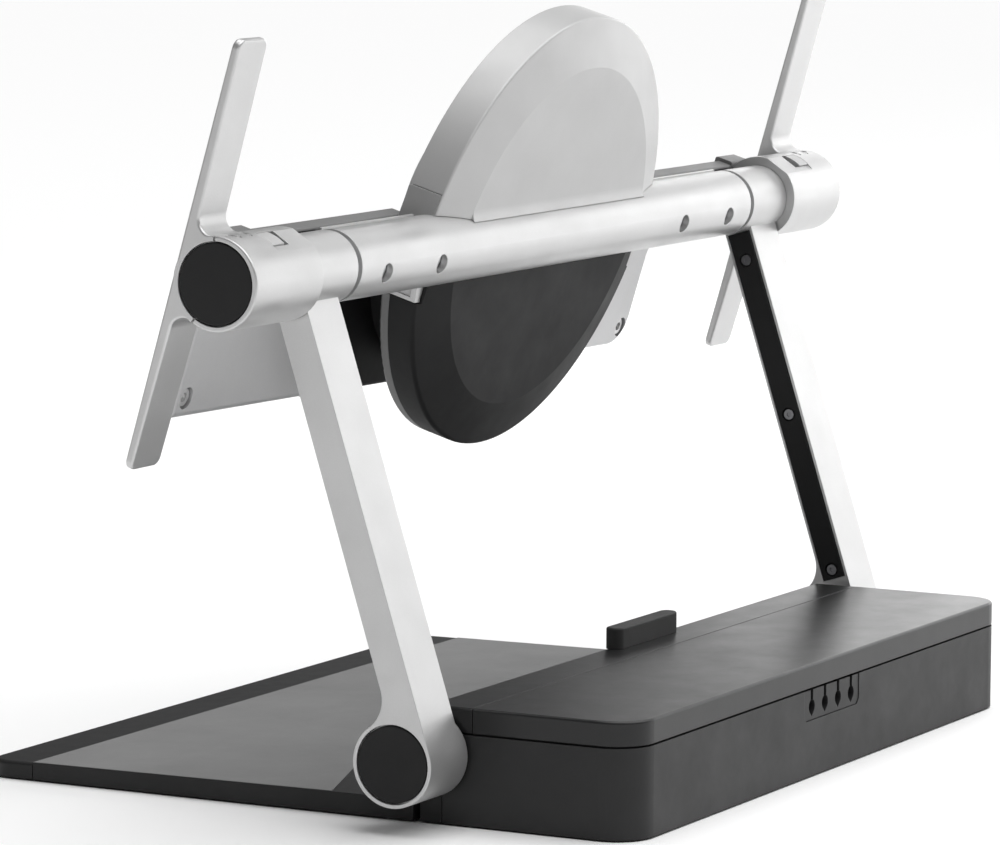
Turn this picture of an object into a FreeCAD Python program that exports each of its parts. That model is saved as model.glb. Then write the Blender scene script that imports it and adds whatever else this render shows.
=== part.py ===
import FreeCAD, Part
import math
import os

# Adjustable stand for a pen display: a weighted desk base with a cable box, two leaning
# arms, a tilting head tube with a round hub, and a rotating plate that carries the display.
# Millimetres. +Z is up, the user sits at -Y, and the origin is under the middle of the
# footprint. Left and right are the user's.

Vec = FreeCAD.Vector
X_AXIS = Vec(1, 0, 0)
Y_AXIS = Vec(0, 1, 0)
Z_AXIS = Vec(0, 0, 1)
ORIGIN = Vec(0, 0, 0)

SIDES = (("left", -1), ("right", 1))

# Whole object
HALF_WIDTH = 360.0          # outer faces of the head's end sleeves
FRONT_Y = -200.0            # front edge of the desk plate
REAR_Y = 200.0              # rear face of the cable box

# Base
FOOT_HEIGHT = 1.0           # rubber pads hold the base this far off the desk
PLATE_HALF_WIDTH = 248.2
PLATE_FRONT_TOP = 10.1      # the desk plate is a shallow wedge
PLATE_REAR_TOP = 12.6
PLATE_REAR_Y = 69.4
TRIM_DEPTH = 30.1
TRIM_SEAM = 0.5
PLATE_CORNER_R = 14.0
MAT_THICKNESS = 1.2
MAT_PROUD = 0.2
MAT_NOTCH_HALF = 112.0      # the mat's rear edge stands forward in the middle
MAT_NOTCH_Y = -29.0
MAT_REAR_Y = 19.0
BOX_HALF_WIDTH = 246.8
BOX_FRONT_Y = 76.7
LID_FRONT_Y = 104.2
BOX_TOP = 64.0
BOX_SEAM = 49.6
SEAM_GAP = 1.2
BOX_CORNER_R = 22.0
BOX_WALL = 2.5
STEEL_TOP = 7.5            # steel plate let in under the desk plate and the cable box
STEEL_THICK = 3.5
STEEL_HALF_WIDTH = 222.0
STEEL_FRONT_Y = -184.0
STEEL_REAR_Y = 190.0
FOOT_R = 8.0
FOOT_X = 232.0
FOOT_ROWS_Y = (-178.0, -60.0, 50.0, 180.0)
WEIGHT_HALF_WIDTH = 200.0
WEIGHT_Y = (98.0, 188.0)
WEIGHT_THICK = 8.0
WEIGHT_SCREW_X = 180.0
WEIGHT_SCREW_Y = 142.0
WEIGHT_SCREW_R = 3.0
KEYHOLE_COUNT = 4
KEYHOLE_PITCH = 17.5
KEYHOLE_R = 4.0
KEYHOLE_DROP = 9.6          # bulb centres below the lid's seam
CLIP_HALF_WIDTH = 36.5
BUMPER_HALF_WIDTH = 38.0
BUMPER_DEPTH = 10.6
BUMPER_HEIGHT = 12.2
TRAY_FLOOR = 10.4
BLOCK_INNER_X = 214.0
BLOCK_FRONT_Y = 72.9
BLOCK_REAR_Y = 85.7

# Lower pivot
PIVOT_Y = 79.4
PIVOT_Z = 38.7
PIVOT_SHAFT_R = 8.5
PIVOT_BOSS_R = 13.0
PIVOT_BUSH_R = 11.5
BARREL_R = 23.3
BARREL_CAVITY_R = 20.2
BARREL_INNER_X = 249.5
CAP_LOW_R = 20.6
RUN_CLEARANCE = 0.05        # radial running clearance of a shaft in its bush

# Arms, drawn upright about the lower pivot and then leaned forward
ARM_LEAN = 17.8
ARM_INNER_X = 254.9
ARM_OUTER_X = 289.8
ARM_FRONT = 5.3             # the arm's front and rear planes, behind the pivot
ARM_REAR = 23.3
ARM_WALL = 2.6
ARM_LENGTH = 262.5          # pivot to head axis, along the arm
ARM_AXIS_OFFSET = 15.6      # head axis behind the pivot, square to the arm
ARM_FOOT_FILLET = 18.0
CHANNEL_BOTTOM = 34.0       # hollow inside the limb
CHANNEL_TOP = 238.5
COVER_BOTTOM = 24.5
COVER_TOP = 242.7
COVER_SCREWS = (30.0, 128.0, 225.5)
COVER_SCREW_R = 1.5

# Head, drawn upright about its own axis and then leaned back
HEAD_TILT = 16.5
TUBE_R = 19.6
TUBE_WALL = 3.0
TUBE_HALF = 240.5
COLLAR_INNER_X = 245.0
COLLAR_OUTER_X = 291.2
AXLE_R = 12.0
AXLE_PLUG_R = TUBE_R - TUBE_WALL
AXLE_HOLLOW_R = 10.0
BUSH_R = 15.0
SLEEVE_R = 24.85
SLEEVE_BORE_R = 21.6
SLEEVE_INNER_X = 291.6
CAP_HIGH_R = 21.6
CLUTCH_R = 19.8
CLUTCH_X = 300.0            # five friction plates outward from here
CLUTCH_PITCH = 3.4
CLUTCH_PLATE = 2.4
TUBE_HOLE_R = 5.5
TUBE_HOLES_X = (150.5, 211.7)
TUBE_SCREW_R = 2.9
TUBE_SCREW_SEAT = 13.0      # the screw heads lie deep in the axle plug

# Lever lock: a slide flush with the sleeve, in a flat recess behind its crown
RECESS_LEAN = 17.0
RECESS_DEPTH = 1.25
RECESS_END_X = 329.6
LOCK_SLOT_X = 311.9
LOCK_INNER_X = 317.3
LOCK_OUTER_X = 329.3
LOCK_FRONT = -8.2
LOCK_REAR = 3.3
LOCK_GAP = 0.3
LOCK_FOOT_R = 20.2          # the slide's foot clears the clutch plates
MARK_X = (336.5, 350.5)     # engraved open and closed padlocks
MARK_LEAN = 5.5
MARK_DEPTH = 0.6

# Levers
LEVER_INNER_X = 331.4
LEVER_ARC = 70.7            # half of the sleeve's circle that belongs to the lever
LEVER_GAP = 1.3
LEVER_UP = 124.0
LEVER_DOWN = 110.0
LEVER_ROOT_THICK = 6.1
LEVER_TIP_THICK = 4.5
LEVER_FILLET = 8.0

# Round hub and its covers
HUB_R = 137.0
HUB_SHIFT = 8.6             # each half is an arc centred this far past the head axis
HUB_RIM_R = 109.5           # raised rear face
HUB_RAISE = 7.5
HUB_WALL = 2.6
HUB_UPPER_FRONT = -21.6
HUB_LOWER_FRONT = -16.2
CARRIER_FRONT = -21.9
BLOCK_X = 126.0             # tube clamps start here and end at the hub's rim
BLOCK_HALF_HEIGHT = 31.0
CLAMP_SKIN = 1.0            # the upper cover's rear skin laps over the clamps
BEAM_OUTER_X = 312.0
BEAM_FRONT = -31.7
BEAM_REAR = -21.6
BEAM_HALF_HEIGHT = 13.4
BEAM_FLANGE = 1.6           # the beam is open to the rear where the arm's collar turns
BEAM_OPEN_X = (226.0, 284.0)
TUBE_RIB_X = (139.0, 240.5)

# Display plate, turned with its hub about the head's own fore-and-aft axis
DISPLAY_ROLL = 1.0          # as left by its user, right side up
DISPLAY_REAR = -51.6
DISPLAY_FRONT = -61.6
DISPLAY_HALF_WIDTH = 272.0
DISPLAY_BOTTOM = -107.5
DISPLAY_TOP = -6.0
CROSSBAR_HALF_WIDTH = 288.0
CROSSBAR_BOTTOM = -42.0
SCREW_X = 261.6
SCREW_Z = (-96.0, -20.0)
SCREW_HOLE_R = 2.1
MOUNT_SPACING = 75.0        # square of four tapped holes in the display face
MOUNT_CENTRE_Z = -57.0
MOUNT_HOLE_R = 1.65
HUB_PANEL_HALF_WIDTH = 130.0
HUB_PANEL_THICK = 3.0
BEARING_R = 50.0
SPIGOT_R = 38.0
BEARING_FRONT = -44.0
HUB_FLANGE_R = 52.0
HUB_SEAT_R = 53.5           # round middle of the plate, over the bearing
SHROUD_R = 97.0
SHROUD_WALL = 3.0
HUB_BOLT_COUNT = 6
HUB_BOLT_R = 44.0
HUB_SHANK_R = 2.1


def box(x0, x1, y0, y1, z0, z1):
    low = Vec(min(x0, x1), min(y0, y1), min(z0, z1))
    return Part.makeBox(abs(x1 - x0), abs(y1 - y0), abs(z1 - z0), low)


def cyl_x(radius, x0, x1, y=0.0, z=0.0):
    return Part.makeCylinder(radius, abs(x1 - x0), Vec(min(x0, x1), y, z), X_AXIS)


def cyl_y(radius, y0, y1, x=0.0, z=0.0):
    return Part.makeCylinder(radius, abs(y1 - y0), Vec(x, min(y0, y1), z), Y_AXIS)


def cyl_z(radius, z0, z1, x=0.0, y=0.0):
    return Part.makeCylinder(radius, abs(z1 - z0), Vec(x, y, min(z0, z1)), Z_AXIS)


def prism_x(points, x0, x1):
    """A straight-sided outline in Y and Z, given as (y, z) points, drawn out along X."""
    low = min(x0, x1)
    corners = [Vec(low, y, z) for y, z in points]
    face = Part.Face(Part.makePolygon(corners + corners[:1]))
    return face.extrude(Vec(abs(x1 - x0), 0, 0))


def prism_z(points, z0, z1):
    corners = [Vec(x, y, z0) for x, y in points]
    face = Part.Face(Part.makePolygon(corners + corners[:1]))
    return face.extrude(Vec(0, 0, z1 - z0))


def prism_y(points, y0, y1):
    corners = [Vec(x, y0, z) for x, z in points]
    face = Part.Face(Part.makePolygon(corners + corners[:1]))
    return face.extrude(Vec(0, y1 - y0, 0))


def hexagon_x(across, x0, x1, y=0.0, z=0.0):
    radius = across / math.sqrt(3.0)
    angles = [math.radians(60 * i) for i in range(6)]
    return prism_x([(y + radius * math.cos(a), z + radius * math.sin(a)) for a in angles], x0, x1)


def lies_along(edge, axis):
    """True for a straight edge that runs along the given axis."""
    if not isinstance(edge.Curve, Part.Line):
        return False
    return abs(abs(edge.Curve.Direction.dot(axis)) - 1.0) < 1e-6


def fillet_where(shape, radius, wanted):
    edges = [edge for edge in shape.Edges if wanted(edge)]
    return shape.makeFillet(radius, edges) if edges else shape


def mirrored(shape, side):
    """Parts are drawn on the right (+X); the left one is their mirror image."""
    return shape if side > 0 else shape.mirror(ORIGIN, X_AXIS)


def both_sides(shape):
    return Part.makeCompound([shape, mirrored(shape, -1)])


def place_arm(shape):
    placed = shape.copy()
    placed.rotate(ORIGIN, X_AXIS, ARM_LEAN)
    placed.translate(Vec(0, PIVOT_Y, PIVOT_Z))
    return placed


def head_axis():
    lean = math.radians(ARM_LEAN)
    y = PIVOT_Y + ARM_AXIS_OFFSET * math.cos(lean) - ARM_LENGTH * math.sin(lean)
    z = PIVOT_Z + ARM_AXIS_OFFSET * math.sin(lean) + ARM_LENGTH * math.cos(lean)
    return Vec(0, y, z)


def place_head(shape):
    placed = shape.copy()
    placed.rotate(ORIGIN, X_AXIS, -HEAD_TILT)
    placed.translate(head_axis())
    return placed


def place_display(shape):
    rolled = shape.copy()
    rolled.rotate(ORIGIN, Y_AXIS, -DISPLAY_ROLL)
    return place_head(rolled)


# Base -------------------------------------------------------------------------------------


def plate_top(y):
    """Height of the desk plate's sloping top."""
    share = (y - FRONT_Y) / (PLATE_REAR_Y - FRONT_Y)
    return PLATE_FRONT_TOP + share * (PLATE_REAR_TOP - PLATE_FRONT_TOP)


def plate_wedge(y0, y1, half_width, top_offset=0.0, bottom=FOOT_HEIGHT):
    outline = [(y0, bottom), (y1, bottom), (y1, plate_top(y1) + top_offset),
               (y0, plate_top(y0) + top_offset)]
    return prism_x(outline, -half_width, half_width)


def mat_outline(margin=0.0):
    front = FRONT_Y + TRIM_DEPTH
    side = PLATE_HALF_WIDTH - 1.2 + margin
    notch = MAT_NOTCH_Y + margin
    rear = MAT_REAR_Y + margin
    corners = [(-side, front), (side, front), (side, rear), (MAT_NOTCH_HALF, notch)]
    return corners + [(-MAT_NOTCH_HALF, notch), (-side, rear)]


def steel_outline(grow, z0):
    half = STEEL_HALF_WIDTH + grow
    return box(-half, half, STEEL_FRONT_Y - grow, STEEL_REAR_Y + grow, z0, STEEL_TOP)


def steel_pocket():
    """Space under the desk plate and cable box for the steel plate that ties them."""
    return steel_outline(0.4, 0.0)


def front_plate():
    wedge = plate_wedge(FRONT_Y + TRIM_DEPTH + TRIM_SEAM, PLATE_REAR_Y, PLATE_HALF_WIDTH)
    tongue = plate_wedge(PLATE_REAR_Y, BOX_FRONT_Y - 0.3, BLOCK_INNER_X - 4)
    plate = wedge.fuse(tongue).removeSplitter()
    mat_space = prism_z(mat_outline(0.3), 0, 30)
    mat_floor = plate_wedge(FRONT_Y, PLATE_REAR_Y, PLATE_HALF_WIDTH + 5, MAT_PROUD - MAT_THICKNESS, -5)
    plate = plate.cut(mat_space.cut(mat_floor))
    return plate.cut(steel_pocket())


def front_trim():
    trim = plate_wedge(FRONT_Y, FRONT_Y + TRIM_DEPTH, PLATE_HALF_WIDTH)
    trim = fillet_where(trim, PLATE_CORNER_R, lambda e: lies_along(e, Z_AXIS)
                        and e.Vertexes[0].Y < FRONT_Y + 1)
    trim = fillet_where(trim, 2.0, lambda e: min(v.Z for v in e.Vertexes) > PLATE_FRONT_TOP - 0.1
                        and max(v.Y for v in e.Vertexes) < FRONT_Y + PLATE_CORNER_R + 1)
    return trim.cut(steel_pocket())


def mat_inlay():
    sheet = prism_z(mat_outline(), 0, 30)
    layer = plate_wedge(FRONT_Y, PLATE_REAR_Y, PLATE_HALF_WIDTH + 5, MAT_PROUD, -5)
    floor = plate_wedge(FRONT_Y - 1, PLATE_REAR_Y + 1, PLATE_HALF_WIDTH + 9,
                        MAT_PROUD - MAT_THICKNESS + 0.01, -9)
    return sheet.common(layer).cut(floor)


def base_steel_plate():
    return steel_outline(0.0, STEEL_TOP - STEEL_THICK)


def box_outline(inset, z0, z1, y_front, y_rear=REAR_Y):
    """Plan of the cable box, with its two round rear corners."""
    body = box(-BOX_HALF_WIDTH + inset, BOX_HALF_WIDTH - inset, y_front, y_rear - inset, z0, z1)
    return fillet_where(body, BOX_CORNER_R - inset, lambda e: lies_along(e, Z_AXIS)
                        and e.Vertexes[0].Y > y_rear - inset - 1)


def clip_window(grow=0.0):
    """Opening in the box's rear wall, under the lid, for the keyhole clip."""
    half = CLIP_HALF_WIDTH + grow
    bottom = BOX_SEAM - 17.0 - grow
    return prism_y([(-half, BOX_SEAM + 1), (-half, bottom + 3), (-half + 3, bottom), (half - 3, bottom),
                    (half, bottom + 3), (half, BOX_SEAM + 1)], REAR_Y - 12, REAR_Y + 5)


def tray_corner():
    """Room for a pivot block at one front corner of the tray, with its round boss higher up."""
    inner = BLOCK_INNER_X - 3
    low = box(inner, BOX_HALF_WIDTH + 5, BOX_FRONT_Y - 5, BLOCK_REAR_Y + 0.5, -5, BOX_TOP)
    return low.fuse(box(inner, BOX_HALF_WIDTH + 5, BOX_FRONT_Y - 5, PIVOT_Y + PIVOT_BOSS_R + 1, 23, BOX_TOP))


def tray_corner_walls():
    """Walls that close the tray round the room for a pivot block."""
    inner = BLOCK_INNER_X - 3 - BOX_WALL
    outer = BOX_HALF_WIDTH - 1
    low_rear = BLOCK_REAR_Y + 0.5 + BOX_WALL
    high_rear = PIVOT_Y + PIVOT_BOSS_R + 1 + BOX_WALL
    walls = box(inner, outer, BOX_FRONT_Y + 1, low_rear, TRAY_FLOOR - 1, 23)
    walls = walls.fuse(box(inner, outer, BOX_FRONT_Y + 1, high_rear, 23 - BOX_WALL, BOX_SEAM))
    return walls.cut(tray_corner())


def crossbeam_bar(grow=0.0):
    """Steel bar across the box, between the two pivot blocks."""
    y0 = BOX_FRONT_Y + BOX_WALL + 0.4
    return box(-BLOCK_INNER_X, BLOCK_INNER_X, y0 - grow, y0 + 11 + grow, 26 - grow, 41 + grow)


def box_tray():
    outer = box_outline(0.0, FOOT_HEIGHT, BOX_SEAM, BOX_FRONT_Y)
    inner = box_outline(BOX_WALL, TRAY_FLOOR, BOX_TOP, BOX_FRONT_Y + BOX_WALL)
    rim = box_outline(BOX_WALL + 0.3, BOX_SEAM - 4, BOX_SEAM + 3, BOX_FRONT_Y + BOX_WALL + 0.3)
    rim = rim.cut(box_outline(BOX_WALL + 1.8, BOX_SEAM - 9, BOX_TOP, BOX_FRONT_Y + BOX_WALL + 1.8))
    rim_root = box_outline(BOX_WALL - 0.5, BOX_SEAM - 4, BOX_SEAM - 1, BOX_FRONT_Y + BOX_WALL - 0.5)
    rim_root = rim_root.cut(box_outline(BOX_WALL + 1.8, BOX_SEAM - 9, BOX_TOP, BOX_FRONT_Y + BOX_WALL + 1.8))
    tray = outer.cut(inner).fuse(rim).fuse(rim_root).cut(steel_pocket())
    for side in (-1, 1):
        tray = tray.cut(mirrored(tray_corner(), side)).fuse(mirrored(tray_corner_walls(), side))
    return tray.cut(clip_window(0.3)).cut(crossbeam_bar(0.4)).removeSplitter()


def front_cover():
    """Fixed strip in front of the lid, with a front lip and two side lips."""
    cover = box(-BOX_HALF_WIDTH, BOX_HALF_WIDTH, BOX_FRONT_Y, LID_FRONT_Y - 0.6,
                BOX_SEAM + SEAM_GAP, BOX_TOP)
    cover = fillet_where(cover, 2.0, lambda e: min(v.Z for v in e.Vertexes) > BOX_TOP - 0.1
                         and min(v.Y for v in e.Vertexes) < BOX_FRONT_Y + 0.1)
    hollow = box(-BOX_HALF_WIDTH + BOX_WALL, BOX_HALF_WIDTH - BOX_WALL, BOX_FRONT_Y + BOX_WALL, REAR_Y,
                 BOX_SEAM, BOX_TOP - BOX_WALL)
    return cover.cut(hollow)


def box_lid():
    lid = box_outline(0.0, BOX_SEAM + SEAM_GAP, BOX_TOP, LID_FRONT_Y)
    lid = fillet_where(lid, 1.6, lambda e: min(v.Z for v in e.Vertexes) > BOX_TOP - 0.1
                       and max(v.Y for v in e.Vertexes) > LID_FRONT_Y + 0.1)
    lid = lid.cut(box_outline(BOX_WALL, BOX_SEAM, BOX_TOP - BOX_WALL, LID_FRONT_Y - 1))
    for x in (-150, 0, 150):
        rib = box(x - 1, x + 1, LID_FRONT_Y + 2, REAR_Y - 8, BOX_TOP - 5, BOX_TOP - BOX_WALL + 0.2)
        lid = lid.fuse(rib)
    return lid.removeSplitter()


def counterweight():
    slab = box(-WEIGHT_HALF_WIDTH, WEIGHT_HALF_WIDTH, WEIGHT_Y[0], WEIGHT_Y[1],
               TRAY_FLOOR, TRAY_FLOOR + WEIGHT_THICK)
    slab = fillet_where(slab, 6.0, lambda e: lies_along(e, Z_AXIS))
    for x in (-WEIGHT_SCREW_X, WEIGHT_SCREW_X):
        slab = slab.cut(cyl_z(WEIGHT_SCREW_R + 0.2, 0, 30, x, WEIGHT_SCREW_Y))
    return slab


def counterweight_screws():
    screws = []
    top = TRAY_FLOOR + WEIGHT_THICK
    for x in (-WEIGHT_SCREW_X, WEIGHT_SCREW_X):
        shank = cyl_z(WEIGHT_SCREW_R, TRAY_FLOOR, top + 0.2, x, WEIGHT_SCREW_Y)
        head = cyl_z(5.5, top, top + 3.5, x, WEIGHT_SCREW_Y)
        socket = cyl_z(2.4, top + 1, top + 4, x, WEIGHT_SCREW_Y)
        screws.append(shank.fuse(head).cut(socket))
    return Part.makeCompound(screws)


def keyhole_clip():
    """Clip with four keyholes that open upward to the lid's seam."""
    clip = clip_window().common(box(-60, 60, REAR_Y - 10, REAR_Y - 0.4, 0, BOX_SEAM - 0.2))
    clip = clip.cut(box(-33, 33, REAR_Y - 12, REAR_Y - 2.6, 0, BOX_SEAM - 14))
    centre = BOX_SEAM - KEYHOLE_DROP
    for i in range(KEYHOLE_COUNT):
        x = (i - 0.5 * (KEYHOLE_COUNT - 1)) * KEYHOLE_PITCH
        bulb = cyl_y(KEYHOLE_R, REAR_Y - 15, REAR_Y + 5, x, centre)
        neck = box(x - 1.6, x + 1.6, REAR_Y - 15, REAR_Y + 5, centre, BOX_SEAM + 5)
        point = prism_y([(x - 2.9, BOX_SEAM - 12.4), (x + 2.9, BOX_SEAM - 12.4), (x, BOX_SEAM - 15.2)],
                        REAR_Y - 15, REAR_Y + 5)
        clip = clip.cut(bulb).cut(neck).cut(point)
    return clip


def display_bumper():
    """Soft buffer that stops the display against the front cover."""
    y0 = PIVOT_Y - 3.6
    pad = box(-BUMPER_HALF_WIDTH, BUMPER_HALF_WIDTH, y0, y0 + BUMPER_DEPTH,
              BOX_TOP, BOX_TOP + BUMPER_HEIGHT)
    pad = fillet_where(pad, 4.9, lambda e: lies_along(e, Z_AXIS))
    return fillet_where(pad, 1.2, lambda e: min(v.Z for v in e.Vertexes) > BOX_TOP + BUMPER_HEIGHT - 0.1)


def rubber_feet():
    feet = []
    for x in (-FOOT_X, FOOT_X):
        for y in FOOT_ROWS_Y:
            feet.append(cyl_z(FOOT_R, 0, FOOT_HEIGHT, x, y))
    return Part.makeCompound(feet)


def pivot_block(side):
    """Steel block that carries the pivot shaft and stands on the steel plate."""
    block = box(BLOCK_INNER_X, BOX_HALF_WIDTH, BLOCK_FRONT_Y, BLOCK_REAR_Y, FOOT_HEIGHT, BOX_SEAM)
    boss = cyl_x(PIVOT_BOSS_R, BLOCK_INNER_X, BOX_HALF_WIDTH, PIVOT_Y, PIVOT_Z)
    block = block.fuse(boss.common(box(0, 300, 0, 200, 0, BOX_SEAM))).cut(steel_pocket())
    block = block.cut(cyl_x(PIVOT_SHAFT_R, 0, 300, PIVOT_Y, PIVOT_Z))
    return mirrored(block.removeSplitter(), side)


def pivot_shaft(side):
    shaft = cyl_x(PIVOT_SHAFT_R, BLOCK_INNER_X, 279.0, PIVOT_Y, PIVOT_Z)
    thread = cyl_x(6.0, 278.9, 285.0, PIVOT_Y, PIVOT_Z)
    return mirrored(shaft.fuse(thread).removeSplitter(), side)


def pivot_nuts():
    nut = hexagon_x(19.0, 279.2, 284.2, PIVOT_Y, PIVOT_Z)
    nut = nut.cut(cyl_x(6.0, 270, 290, PIVOT_Y, PIVOT_Z))
    return both_sides(nut)


def pivot_washers():
    washer = cyl_x(12.5, BOX_HALF_WIDTH, BARREL_INNER_X - 0.2, PIVOT_Y, PIVOT_Z)
    return both_sides(washer.cut(cyl_x(PIVOT_SHAFT_R, 200, 300, PIVOT_Y, PIVOT_Z)))


def pivot_crossbeam():
    return crossbeam_bar()


# Arms -------------------------------------------------------------------------------------


def arm_profile():
    """Side view of one arm: a straight limb that runs down into the pivot barrel."""
    centre_y = ARM_FRONT - ARM_FOOT_FILLET
    reach = BARREL_R + ARM_FOOT_FILLET
    centre_z = math.sqrt(reach ** 2 - centre_y ** 2)
    on_barrel = Vec(0, centre_y * BARREL_R / reach, centre_z * BARREL_R / reach)
    on_limb = Vec(0, ARM_FRONT, centre_z)
    sweep = 0.5 * (math.atan2(centre_z, -centre_y))
    bend_y = centre_y + ARM_FOOT_FILLET * math.cos(sweep)
    bend_z = centre_z - ARM_FOOT_FILLET * math.sin(sweep)
    top = ARM_LENGTH
    edges = [
        Part.Arc(on_barrel, Vec(0, bend_y, bend_z), on_limb).toShape(),
        Part.LineSegment(on_limb, Vec(0, ARM_FRONT, top)).toShape(),
        Part.LineSegment(Vec(0, ARM_FRONT, top), Vec(0, ARM_REAR, top)).toShape(),
        Part.LineSegment(Vec(0, ARM_REAR, top), Vec(0, ARM_REAR, 0)).toShape(),
        Part.Arc(Vec(0, ARM_REAR, 0), Vec(0, 0, -BARREL_R), on_barrel).toShape(),
    ]
    return Part.Face(Part.Wire(edges))


def cover_middle():
    return 0.5 * (ARM_FRONT + ARM_REAR) - 0.1


def arm(side):
    limb = arm_profile().extrude(Vec(ARM_OUTER_X - ARM_INNER_X, 0, 0))
    limb.translate(Vec(ARM_INNER_X, 0, 0))
    barrel = cyl_x(BARREL_R, BARREL_INNER_X, ARM_OUTER_X)
    collar = cyl_x(TUBE_R, COLLAR_INNER_X, COLLAR_OUTER_X, ARM_AXIS_OFFSET, ARM_LENGTH)
    part = limb.fuse(barrel).fuse(collar)
    middle = cover_middle()
    channel = box(0, ARM_OUTER_X - ARM_WALL, ARM_FRONT + ARM_WALL, ARM_REAR - ARM_WALL,
                  CHANNEL_BOTTOM, CHANNEL_TOP)
    for z in COVER_SCREWS[1:]:
        channel = channel.cut(cyl_x(4.0, ARM_INNER_X + 3.2, ARM_OUTER_X, middle, z))
    cover_seat = box(0, ARM_INNER_X + 3.2, ARM_FRONT + 1.4, ARM_REAR - 1.6,
                     COVER_BOTTOM - 0.2, COVER_TOP + 0.2)
    part = part.cut(channel).cut(cover_seat)
    for z in COVER_SCREWS:
        part = part.cut(cyl_x(COVER_SCREW_R, ARM_INNER_X, ARM_INNER_X + 14.0, middle, z))
    part = part.cut(cyl_x(BARREL_CAVITY_R, 256.5, 287.0))
    part = part.cut(cyl_x(CAP_LOW_R + 0.7, 286.5, 300))
    part = part.cut(cyl_x(PIVOT_BUSH_R, 240, 260))
    part = part.cut(cyl_x(BUSH_R, 240, 300, ARM_AXIS_OFFSET, ARM_LENGTH))
    return mirrored(place_arm(part.removeSplitter()), side)


def arm_cover(side):
    """Plastic cover that closes the channel on the arm's inner side."""
    front, rear = ARM_FRONT + 1.6, ARM_REAR - 1.8
    cover = box(ARM_INNER_X - 0.6, ARM_INNER_X + 3.0, front, rear, COVER_BOTTOM, COVER_TOP)
    cover = fillet_where(cover, 0.8, lambda e: lies_along(e, Z_AXIS) and e.Vertexes[0].X < ARM_INNER_X)
    for z in COVER_SCREWS:
        cover = cover.cut(cyl_x(4.2, 0, ARM_INNER_X + 1.2, cover_middle(), z))
        cover = cover.cut(cyl_x(COVER_SCREW_R + 0.1, 0, ARM_INNER_X + 9, cover_middle(), z))
    return mirrored(place_arm(cover), side)


def arm_cover_screws():
    screws = []
    middle = cover_middle()
    for z in COVER_SCREWS:
        head = cyl_x(3.2, ARM_INNER_X - 0.1, ARM_INNER_X + 1.2, middle, z)
        head = head.cut(hexagon_x(2.4, ARM_INNER_X - 1, ARM_INNER_X + 0.5, middle, z))
        shank = cyl_x(COVER_SCREW_R, ARM_INNER_X + 1.1, ARM_INNER_X + 12.0, middle, z)
        screws.append(place_arm(head.fuse(shank)))
    return both_sides(Part.makeCompound(screws))


def pivot_cap(side):
    cap = cyl_x(CAP_LOW_R, 287.2, ARM_OUTER_X - 0.2)
    cap = fillet_where(cap, 0.8, lambda e: e.Vertexes[0].X > ARM_OUTER_X - 0.5
                       and isinstance(e.Curve, Part.Circle))
    skirt = cyl_x(CAP_LOW_R - 1.2, 284.6, 287.3).cut(cyl_x(CAP_LOW_R - 3.2, 280, 287.3))
    return mirrored(place_arm(cap.fuse(skirt).removeSplitter()), side)


def pivot_bushes():
    bush = cyl_x(PIVOT_BUSH_R, BARREL_INNER_X + 0.2, 258.0).fuse(cyl_x(14.0, 256.5, 258.0))
    bush = bush.cut(cyl_x(PIVOT_SHAFT_R + RUN_CLEARANCE, 200, 300))
    return both_sides(place_arm(bush.removeSplitter()))


def coil_spring(mean_radius, wire, x0, pitch, turns, side):
    """Torsion spring: close turns of round wire about the X axis, of one hand on both sides."""
    helix = Part.makeHelix(pitch, pitch * turns, mean_radius)
    profile = Part.Wire(Part.makeCircle(wire / 2.0, Vec(mean_radius, 0, 0), Y_AXIS))
    coil = Part.Wire(helix.Edges).makePipeShell([profile], True, True)
    coil.rotate(ORIGIN, Y_AXIS, 90)
    coil.translate(Vec(x0, 0, 0))
    if side < 0:
        coil.rotate(ORIGIN, Y_AXIS, 180)
    return coil


def counterbalance_spring(side):
    return place_arm(coil_spring(16.9, 3.0, 261.0, 3.5, 4, side))


def tilt_bushes():
    bush = cyl_x(BUSH_R, COLLAR_INNER_X + 0.2, COLLAR_OUTER_X - 0.2, ARM_AXIS_OFFSET, ARM_LENGTH)
    bush = bush.cut(cyl_x(AXLE_R + RUN_CLEARANCE, 200, 330, ARM_AXIS_OFFSET, ARM_LENGTH))
    return both_sides(place_arm(bush))


# Head -------------------------------------------------------------------------------------


def head_tube():
    tube = cyl_x(TUBE_R, -TUBE_HALF, TUBE_HALF)
    for side in (-1, 1):
        rib = box(side * TUBE_RIB_X[0], side * TUBE_RIB_X[1], -12.0, -10.6, 14.0, 17.5)
        tube = tube.fuse(rib)
    tube = tube.cut(cyl_x(AXLE_PLUG_R, -TUBE_HALF - 5, TUBE_HALF + 5))
    for x in TUBE_HOLES_X:
        for side in (-1, 1):
            tube = tube.cut(cyl_y(TUBE_HOLE_R, 5, 40, side * x, 0))
    return place_head(tube)


def head_axle(side):
    """Steel shaft: a hollow plug in the tube, a journal through the collar, a seat for the sleeve."""
    plug = cyl_x(AXLE_PLUG_R, 138.0, 244.6).cut(cyl_x(AXLE_HOLLOW_R, 130.0, 232.0))
    journal = cyl_x(AXLE_R, 244.0, 352.0)
    shaft = plug.fuse(journal)
    for x in TUBE_HOLES_X:
        shaft = shaft.cut(cyl_y(TUBE_SCREW_R + 0.1, 3.0, 40, x, 0))
        shaft = shaft.cut(cyl_y(TUBE_HOLE_R, TUBE_SCREW_SEAT, 40, x, 0))
    return mirrored(place_head(shaft.removeSplitter()), side)


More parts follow.
